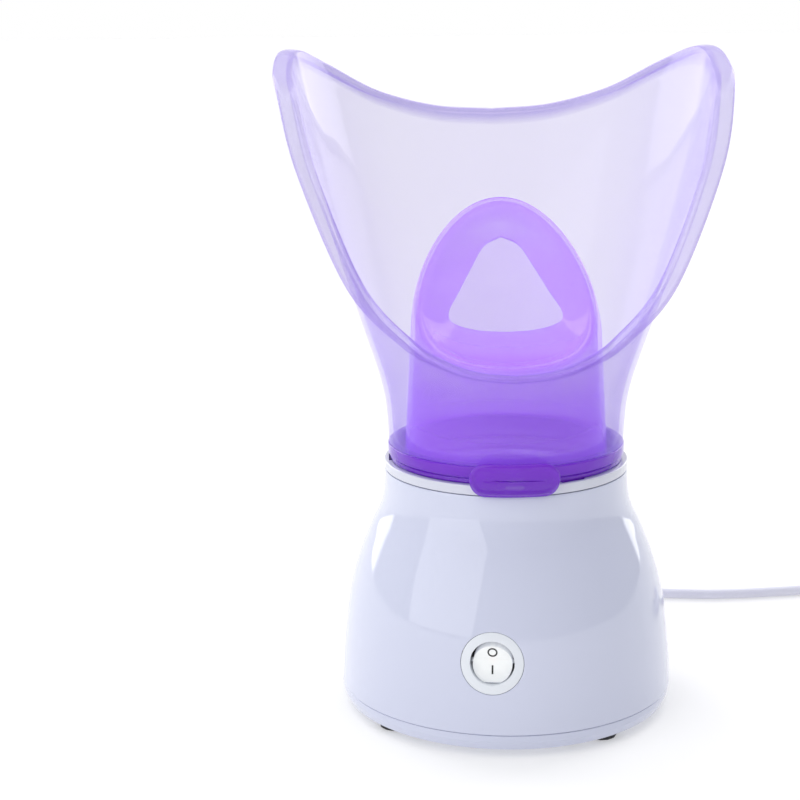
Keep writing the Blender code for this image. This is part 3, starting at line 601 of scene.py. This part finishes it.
def make_tie():
    """A strap loop round one side of the coil."""
    middle = Vector((COIL_CENTRE[0] + 30.0, COIL_CENTRE[1], 3.65))
    edge = [(0.0, 3.2), (0.0, 3.8), (0.35, 4.0), (0.75, 3.8), (0.75, 3.2)]
    outline = edge + [(offset, -width) for offset, width in reversed(edge)]
    sections = []
    for offset, width in outline:
        half_x = 9.05 + offset
        half_z = 5.8 + offset
        corner = 2.0 + offset
        section = []
        for quarter in range(4):
            cx = (half_x - corner) * (1 if quarter in (0, 3) else -1)
            cz = (half_z - corner) * (1 if quarter in (0, 1) else -1)
            for step in range(7):
                angle = math.radians(90.0 * quarter + 15.0 * step)
                section.append((middle.x + cx + corner * math.cos(angle), middle.y + width,
                                middle.z + cz + corner * math.sin(angle)))
        sections.append(section)
    tie = ring_stack("coil_strap", sections, STRAP_BLACK, closed=True, angle=50.0)
    return piece(tie, "base", "switch_black", "cord_tie")


# ---------------------------------------------------------------- base and housing

def make_base_ring():
    """The turned base under the seam."""
    profile = [(0.0, 2.6), (77.6, 2.6), (77.6, 12.0), (79.6, 12.0), (79.6, SEAM_Z - 0.1),
               (SEAM_RADIUS - 0.2, SEAM_Z - 0.1), (SEAM_RADIUS - 0.5, 4.6),
               (PLATE_RADIUS + 0.4, 0.9), (PLATE_RADIUS - 1.2, 0.0), (0.0, 0.0)]
    base = turned("base_ring", fillet(profile, 0.5, closed=False), HOUSING_WHITE, closed=False)
    for index in range(8):
        slot = block((3.0, 16.0, 10.0))
        slot.matrix_world = (Matrix.Rotation(math.radians(45.0 * index), 4, "Z")
                             @ Matrix.Translation(scaled((0.0, -46.0, 0.0))))
        carve(base, slot)
    for index in range(4):
        hole = cylinder(3.3, 10.0)
        hole.location = scaled(polar(FOOT_RING, 45.0 + 90.0 * index, -4.0))
        carve(base, hole)
    for angle in (30.0, 150.0, 210.0, 330.0):
        hole = cylinder(1.7, 10.0, 24)
        hole.location = scaled(polar(72.5, angle, -4.0))
        carve(base, hole)
        seat = cylinder(3.4, 4.0, 32)
        seat.location = scaled(polar(72.5, angle, -2.6))
        carve(base, seat)
    piece(base, "base", "housing_white", "base_plate")


def housing_curve(per_span=8):
    """The housing's outer (radius, height) curve."""
    points = [(radius, 0.0, height) for radius, height in HOUSING_OUTLINE]
    return [(point.x, point.z) for point in through_points(points, per_span)]


def offset_inward(outline, distance):
    """The (radius, height) outline moved in by distance."""
    result = []
    for i, (radius, height) in enumerate(outline):
        before = outline[max(i - 1, 0)]
        after = outline[min(i + 1, len(outline) - 1)]
        along = Vector((after[0] - before[0], after[1] - before[1])).normalized()
        result.append((radius + along.y * distance, height - along.x * distance))
    return result


def switch_frame():
    """Matrix whose Z points out of the switch and whose origin is on the housing skin."""
    return (Matrix.Translation(scaled((0.0, SWITCH_SKIN_Y, SWITCH_Z)))
            @ Matrix.Rotation(math.radians(90.0 - SWITCH_LEAN), 4, "X"))


def on_switch(item, depth, across=0.0, up=0.0, turn=None):
    """Put an item in the switch's own frame, at (across, up, depth), turned if asked."""
    local = Matrix.Translation(scaled((across, up, depth)))
    if turn is not None:
        local = local @ turn
    item.matrix_world = switch_frame() @ local
    return item


def make_housing():
    """The housing's turned shell."""
    outer = housing_curve()
    inner = offset_inward(outer, HOUSING_WALL)
    inner[0] = (outer[0][0] - HOUSING_WALL, HOUSING_TOP)
    inner[-1] = (outer[-1][0] - HOUSING_WALL, outer[-1][1])
    housing = turned("housing_shell", outer + inner[::-1], HOUSING_WHITE, 192)
    carve(housing, on_switch(cylinder(BEZEL_RADIUS + 0.22, 40.0, 96), -30.0))
    outlet = cylinder(4.8, 20.0)
    outlet.matrix_world = (Matrix.Translation(scaled((0.0, 92.0, OUTLET_Z)))
                           @ Matrix.Rotation(math.radians(90.0), 4, "X"))
    carve(housing, outlet)
    soften(housing, 0.25, 2)
    piece(housing, "base", "housing_white", "housing")


def make_collar():
    """The white collar on top of the housing."""
    profile = [(COLLAR_RADIUS - 0.3, COLLAR_TOP), (COLLAR_RADIUS, COLLAR_TOP - 0.4),
               (COLLAR_RADIUS, HOUSING_TOP + 0.35), (57.1, HOUSING_TOP + 0.35), (57.1, 104.0),
               (55.0, 104.0), (55.0, 110.0), (46.3, 110.0), (46.3, 112.0), (55.0, 112.0),
               (55.0, 118.0), (58.0, 118.0), (58.0, 120.0), (56.1, 120.0), (56.1, COLLAR_TOP)]
    collar = turned("collar_ring", fillet(profile, 0.7), COLLAR_WHITE)
    for index in range(3):
        notch = block((14.0, 4.5, 3.0))
        angle = math.radians(120.0 * index + 30.0) + TOP_TURN
        notch.matrix_world = (Matrix.Rotation(angle, 4, "Z")
                              @ Matrix.Translation(scaled((0.0, -55.7, 121.0))))
        carve(collar, notch)
    piece(collar, "base", "collar_white", "top_collar")


def make_bezel():
    """The ring round the switch opening."""
    profile = [(BEZEL_RADIUS, 3.0), (BEZEL_RADIUS, -9.0), (OPENING_RADIUS, -9.0),
               (OPENING_RADIUS, 3.0)]
    bezel = on_switch(turned("bezel_ring", profile, BEZEL_WHITE, 96), 0.0)
    skin = [(radius - 0.1, height) for radius, height in housing_curve()]
    solid = [(0.0, skin[0][1])] + skin + [(0.0, skin[-1][1])]
    carve(bezel, turned("skin", solid, None, 192, closed=False), "INTERSECT")
    soften(bezel, 0.35, 3)
    piece(bezel, "base", "collar_white", "switch_bezel")


# ---------------------------------------------------------------- rocker

def make_rocker():
    """The switch's clear rocker."""
    middle = (Matrix.Rotation(math.radians(ROCKER_TILT / 2.0), 4, "X")
              @ Matrix.Translation(scaled((0.0, 0.0, -3.0))))
    rocker = on_switch(cylinder(ROCKER_RADIUS, 20.0, 96), -PIVOT_DEPTH, turn=middle)
    rocker.name = "rocker_cap"
    rocker.data.materials.append(ROCKER_CLEAR)
    across = Matrix.Rotation(math.radians(90.0), 4, "Y")
    centred = across @ Matrix.Translation(scaled((0.0, 0.0, -15.0)))
    carve(rocker, on_switch(cylinder(ROCKER_TIP_RADIUS, 30.0, 96), -PIVOT_DEPTH, turn=centred),
          "INTERSECT")
    carve(rocker, on_switch(block((30.0, 40.0, 20.0)), -PIVOT_DEPTH + 15.0,
                            up=ROCKER_VALLEY_UP - 20.0))
    tilt = (Matrix.Rotation(math.radians(ROCKER_TILT), 4, "X")
            @ Matrix.Translation(scaled((0.0, 19.9, 10.0))))
    carve(rocker, on_switch(block((30.0, 40.0, 20.0)), -PIVOT_DEPTH + 5.0, up=ROCKER_VALLEY_UP,
                            turn=tilt))
    carve(rocker, on_switch(block((11.0, 9.0, 10.0)), -PIVOT_DEPTH - 3.0))
    carve(rocker, on_switch(cylinder(1.5, 30.0, 24), -PIVOT_DEPTH, turn=centred))
    soften(rocker, 0.35, 3, 30.0)
    piece(rocker, "rocker", "rocker_clear", "switch_rocker")
    make_marks()


def make_marks():
    """Power symbols on the rocker: a ring on the upper face and a bar on the lower one."""
    bar = soften(on_switch(block((0.8, 4.2, 0.24)), -2.92, up=-3.4), 0.08, 2)
    bar.name = "mark_on"
    bar.data.materials.append(MARK_BLACK)
    piece(bar, "rocker", "switch_black")
    profile = fillet([(2.35, 0.12), (2.35, -0.12), (1.65, -0.12), (1.65, 0.12)], 0.08, steps=2)
    ring = turned("mark_off", profile, MARK_BLACK, 48)
    tilt = (Matrix.Rotation(math.radians(ROCKER_TILT), 4, "X")
            @ Matrix.Translation(scaled((0.0, 3.2, 0.08))))
    freeze(on_switch(ring, -3.0, up=ROCKER_VALLEY_UP, turn=tilt))
    piece(ring, "rocker", "switch_black")


# ---------------------------------------------------------------- twist ring

def stadium(inset, radius, count=25):
    """Stadium outline of the tab, wrapped on a cylinder round the housing axis."""
    end = TAB_HEIGHT / 2.0
    half = TAB_WIDTH / 2.0 - end
    points = []
    for side in (1.0, -1.0):
        for step in range(count):
            angle = math.radians(-90.0 + 180.0 * step / (count - 1))
            x = side * (half + (end - inset) * math.cos(angle))
            z = side * (end - inset) * math.sin(angle)
            points.append((x, z))
        for step in range(1, 12):
            x = side * half * (1.0 - step / 6.0)
            points.append((x, side * (end - inset)))
    wrapped = []
    for x, z in points:
        turn = x / TAB_RADIUS + TOP_TURN
        wrapped.append((radius * math.sin(turn), -radius * math.cos(turn), TAB_CENTRE_Z + z))
    return wrapped


def make_tab():
    """A grip tab of the twist ring."""
    inner = COLLAR_RADIUS + 0.6
    rings = []
    for inset, radius in ((7.6, TAB_RADIUS - 0.5), (6.0, TAB_RADIUS - 0.5),
                          (4.0, TAB_RADIUS - 0.5), (2.6, TAB_RADIUS - 0.45),
                          (2.0, TAB_RADIUS - 0.1), (1.4, TAB_RADIUS), (0.7, TAB_RADIUS - 0.15),
                          (0.2, TAB_RADIUS - 0.6), (0.0, TAB_RADIUS - 1.4), (0.0, inner + 1.2),
                          (0.3, inner + 0.4), (1.0, inner), (4.0, inner), (7.6, inner)):
        rings.append(stadium(inset, radius))
    return ring_stack("tab", rings, RING_VIOLET, capped=True, angle=60.0)


def make_twist_ring():
    """The violet ring that twists on the collar."""
    profile = [(RING_RADIUS - 0.3, RING_TOP), (RING_RADIUS, RING_TOP - 0.4),
               (RING_RADIUS, 124.8), (56.4, 124.5), (56.4, 124.1), (57.2, 123.9),
               (57.2, 121.9), (55.8, 121.9), (55.8, 118.3), (53.3, 118.3), (53.3, 121.9),
               (44.5, 121.9), (44.5, 131.5), (47.0, 131.5), (47.0, 124.5), (55.4, 124.5),
               (55.4, RING_TOP)]
    ring = turned("twist_ring_body", fillet(profile, 0.5), RING_VIOLET)
    carve(ring, make_tab(), "UNION")
    rib = block((9.5, 6.0, 9.2), (0.0, -59.5, 125.0))
    rib.matrix_world = Matrix.Rotation(TOP_TURN, 4, "Z")
    carve(ring, soften(rib, 0.8), "UNION")
    for index in range(3):
        lug = block((10.0, 2.6, 1.4), (0.0, -56.2, 119.0))
        lug.matrix_world = Matrix.Rotation(TOP_TURN + math.radians(120.0 * index), 4, "Z")
        carve(ring, lug, "UNION")
    piece(ring, "ring", "ring_deep_violet", "twist_ring")


# ---------------------------------------------------------------- face mask

def mask_flare(height):
    """The mask's radius at a height."""
    rise = height - FLARE_START_Z - 21.0
    return 57.9 + 0.21 * (rise + math.hypot(rise, 16.0)) - 1.13


def mirrored_outline(right_half, count):
    """A closed ring of evenly spaced points from its right half, from the front towards +X."""
    right = through_points(right_half, 24)
    left = [Vector((-point.x, point.y, point.z)) for point in right[-2:0:-1]]
    closed = right + left + [right[0]]
    lengths = [0.0]
    for here, there in zip(closed, closed[1:]):
        lengths.append(lengths[-1] + (there - here).length)
    result = []
    index = 0
    for step in range(count):
        wanted = lengths[-1] * step / count
        while lengths[index + 1] < wanted:
            index += 1
        share = (wanted - lengths[index]) / (lengths[index + 1] - lengths[index])
        result.append(closed[index].lerp(closed[index + 1], share))
    return result


def make_face_mask(segments=240, levels=44):
    """The clear face mask, from its neck to its lip."""
    edge = mirrored_outline(LIP_EDGE, segments)
    outward = [Vector((point.x, point.y - 15.0, 0.0)).normalized() for point in edge]
    rim = [point - direction * LIP_WIDTH for point, direction in zip(edge, outward)]
    angles = [math.atan2(point.x, -point.y) for point in rim]
    ups = []
    for i, direction in enumerate(outward):
        along = (edge[(i + 1) % segments] - edge[i - 1]).normalized()
        ups.append(direction.cross(along).normalized())

    def circle(radius, height):
        return [(radius * math.sin(a), -radius * math.cos(a), height) for a in angles]

    def wall(share, inset):
        ring = []
        for point, angle in zip(rim, angles):
            height = MASK_NECK_Z + 0.6 + share * (point.z - MASK_NECK_Z - 0.6)
            correction = math.hypot(point.x, point.y) - mask_flare(point.z)
            radius = mask_flare(height) + correction * share ** 2 - inset
            ring.append((radius * math.sin(angle), -radius * math.cos(angle), height))
        return ring

    def lip(out, up):
        return [tuple(point + direction * out + rise * (up - LIP_DROP))
                for point, direction, rise in zip(rim, outward, ups)]

    shares = [0.955 * level / levels for level in range(levels + 1)]
    rings = [circle(54.9, 125.2), circle(55.1, 125.6), circle(55.1, MASK_NECK_Z),
             circle(57.5, MASK_NECK_Z), circle(57.85, MASK_NECK_Z + 0.25)]
    rings += [wall(share, 0.0) for share in shares]
    lip_profile = ((0.25, -1.5), (0.8, -0.85), (1.7, -0.6), (4.0, -0.6), (6.2, -0.6),
                   (7.0, -0.45), (7.55, 0.0), (7.8, 0.6), (7.75, 1.2), (7.35, 1.8), (6.6, 2.2),
                   (5.2, 2.45), (3.4, 2.5), (1.6, 2.4), (0.2, 2.2), (-1.0, 2.0), (-1.8, 1.5),
                   (-2.2, 0.7), (-2.35, -0.6))
    rings += [lip(out, up) for out, up in lip_profile]
    rings += [wall(share, MASK_WALL + 0.1) for share in reversed(shares)]
    rings += [circle(53.6, MASK_NECK_Z + 0.4), circle(53.0, MASK_NECK_Z - 0.6),
              circle(53.0, 125.6), circle(53.2, 125.2)]
    mask = ring_stack("face_mask_shell", rings, MASK_LILAC, closed=True, angle=60.0)
    first = 5 + len(shares)
    marks = mask.data.attributes.new("rim", "FLOAT", "POINT")
    for row, (out, up) in enumerate(lip_profile):
        at_edge = out > 7.2 or out < 0.9
        for index in range((first + row) * segments, (first + row + 1) * segments):
            marks.data[index].value = 2.4 if at_edge else 0.8
    mask.rotation_euler.z = TOP_TURN
    freeze(mask, 60.0)
    piece(mask, "mask", "mask_lilac_clear", "face_mask")


# ---------------------------------------------------------------- nose inhaler

def nose_rim_height(y):
    """Height of the inhaler's rim at y."""
    return 196.0 + 0.813 * y + 0.0074 * y ** 2


def nose_radius(height):
    """The inhaler's radius at a height."""
    share = min(max((height - 124.5) / NOSE_TAPER_HEIGHT, 0.0), 1.0)
    return NOSE_BASE_RADIUS + (NOSE_TOP_RADIUS - NOSE_BASE_RADIUS) * share


def make_nose_inhaler(segments=160):
    """The violet nose inhaler."""
    turns = [2.0 * math.pi * step / segments for step in range(segments)]
    rings = []
    for level in range(13):
        share = level / 12.0
        ring = []
        for turn in turns:
            top = nose_rim_height(-NOSE_TOP_RADIUS * math.cos(turn)) - 7.0
            height = NOSE_BOTTOM + share * (top - NOSE_BOTTOM)
            radius = nose_radius(height)
            ring.append((radius * math.sin(turn), -radius * math.cos(turn), height))
        rings.append(ring)
    edge = [(0.15, 5.0), (0.8, 2.8), (1.8, 1.2), (3.0, 0.3), (4.5, -0.05), (6.0, 0.0),
            (7.7, 0.5), (9.5, 1.4)]
    for inset, drop in edge:
        ring = []
        for turn in turns:
            radius = NOSE_TOP_RADIUS - inset
            y = -radius * math.cos(turn)
            ring.append((radius * math.sin(turn), y, nose_rim_height(y) - drop))
        rings.append(ring)
    start_ring = rings[-1]
    hole = mirrored_outline(HOLE_EDGE, segments)
    for step in range(1, 11):
        share = step / 10.0
        drop = 1.4 + 4.0 * share - 0.6 * share ** 4
        ring = []
        for target, start in zip(hole, start_ring):
            x = start[0] + (target.x - start[0]) * share
            y = start[1] + (target.y - start[1]) * share
            ring.append((x, y, nose_rim_height(y) - drop))
        rings.append(ring)
    nose = ring_stack("nose_inhaler_shell", rings, NOSE_VIOLET, angle=60.0)
    wall = nose.modifiers.new("wall", "SOLIDIFY")
    wall.thickness = NOSE_WALL * MM
    wall.offset = -1.0
    wall.use_even_offset = True
    nose.rotation_euler.z = TOP_TURN
    freeze(nose, 60.0)
    soften(nose, 0.7, 3, 60.0)
    piece(nose, "inhaler", "inhaler_violet_clear", "nose_inhaler")


# ---------------------------------------------------------------- carried-over solids

def dress_nodes():
    """Give the solids that stay their own materials, by the start of their names."""
    looks = {"water_dish": ALUMINIUM, "heating_plate": ALUMINIUM, "heating_element": STEEL,
             "heat_shield": STEEL, "thermostat": PHENOLIC, "thermal_fuse": WIRING_WHITE,
             "seal_ring": SILICONE, "switch_body": SWITCH_BLACK, "indicator_lamp": LAMP_GLASS,
             "rocker_axle": STEEL, "terminal_block": WIRING_WHITE, "cord_clamp": SWITCH_BLACK,
             "inner_lead": SHEATH, "wire_live": WIRE_BROWN, "wire_switched": WIRE_BROWN,
             "wire_neutral": WIRE_BLUE, "plug_pin": BRASS, "foot_": RUBBER,
             "base_screw": STEEL, "heater_screw": STEEL, "switch_terminal": BRASS,
             "clamp_post": WIRING_WHITE, "clamp_screw": STEEL}
    for name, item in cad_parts.items():
        for start, material in looks.items():
            if name.startswith(start):
                item.data.materials.clear()
                item.data.materials.append(material)


# ---------------------------------------------------------------- studio

def area_light(name, spot, target, size, power):
    """A soft light turned to target."""
    data = bpy.data.lights.new(name, "AREA")
    data.shape = "RECTANGLE"
    data.size, data.size_y = size
    data.energy = power
    light = bpy.data.objects.new(name, data)
    light.location = spot
    light.rotation_euler = (Vector(target) - Vector(spot)).to_track_quat("-Z", "Y").to_euler()
    bpy.context.scene.collection.objects.link(light)


def make_world():
    """White tent behind and beside the object, a dimmer room in front of it and a soft ceiling."""
    world = bpy.data.worlds.new("studio")
    world.use_nodes = True
    background = world.node_tree.nodes["Background"]
    where = add_node(world, "ShaderNodeTexCoord")
    split = add_node(world, "ShaderNodeSeparateXYZ")
    join(world, where, "Generated", split, "Vector")
    # Angle round from straight behind the object, which is +Y
    sideways = calculate(world, "ARCTAN2", (split, "X"), (split, "Y"))
    turned_tent = calculate(world, "ADD", (sideways, "Value"), math.radians(TENT_TURN))
    swing = calculate(world, "ABSOLUTE", (turned_tent, "Value"))

    def edge_at(degrees):
        return remap(world, swing, "Value", (math.radians(degrees - TENT_BLUR), 0.0),
                     (math.radians(degrees + TENT_BLUR), 1.0))

    opening = edge_at(TENT_EDGE)
    ceiling = remap(world, split, "Z", (CEILING_START, 0.0), (CEILING_END, 1.0))
    dim = calculate(world, "MULTIPLY", (opening, "Result"), (ceiling, "Result"))
    tint = mix_colours(world, dim, "Value", (1.0, 1.0, 1.0), ROOM_COLOUR)
    join(world, tint, "Result", background, "Color")
    lit = calculate(world, "SUBTRACT", (edge_at(BAND_START), "Result"), (opening, "Result"))
    lit.use_clamp = True
    strength = calculate(world, "MULTIPLY_ADD", (lit, "Value"), BAND_STRENGTH - 1.0, 1.0)
    join(world, strength, "Value", background, "Strength")
    bpy.context.scene.world = world


def make_studio():
    """Pale floor, tent and two soft lights."""
    bm = bmesh.new()
    bmesh.ops.create_grid(bm, x_segments=1, y_segments=1, size=FLOOR_REACH)
    bmesh.ops.translate(bm, vec=(0.0, 0.0, TABLE_Z), verts=bm.verts)
    floor_material = moulded("floor_white", FLOOR_COLOUR, 0.6, 0.002, 0.0)
    shader = floor_material.node_tree.nodes["Principled BSDF"]
    shader.inputs["Specular IOR Level"].default_value = 0.0
    shader.inputs["Emission Color"].default_value = (1.0, 1.0, 1.0, 1.0)
    shader.inputs["Emission Strength"].default_value = FLOOR_GLOW
    floor = finish_mesh("floor", bm, floor_material)
    make_world()
    bpy.context.scene.view_settings.view_transform = "Standard"
    area_light("soft_key", (-1.0, -1.1, 0.8), (0.0, 0.0, 0.12), (1.6, 1.6), 9.5)
    area_light("soft_top", (-0.2, -0.2, 1.4), (0.0, 0.0, 0.1), (1.2, 1.2), 2.0)


make_camera()
make_lead()
make_base_ring()
make_housing()
make_collar()
make_bezel()
make_rocker()
make_twist_ring()
make_face_mask()
make_nose_inhaler()
dress_nodes()
make_studio()
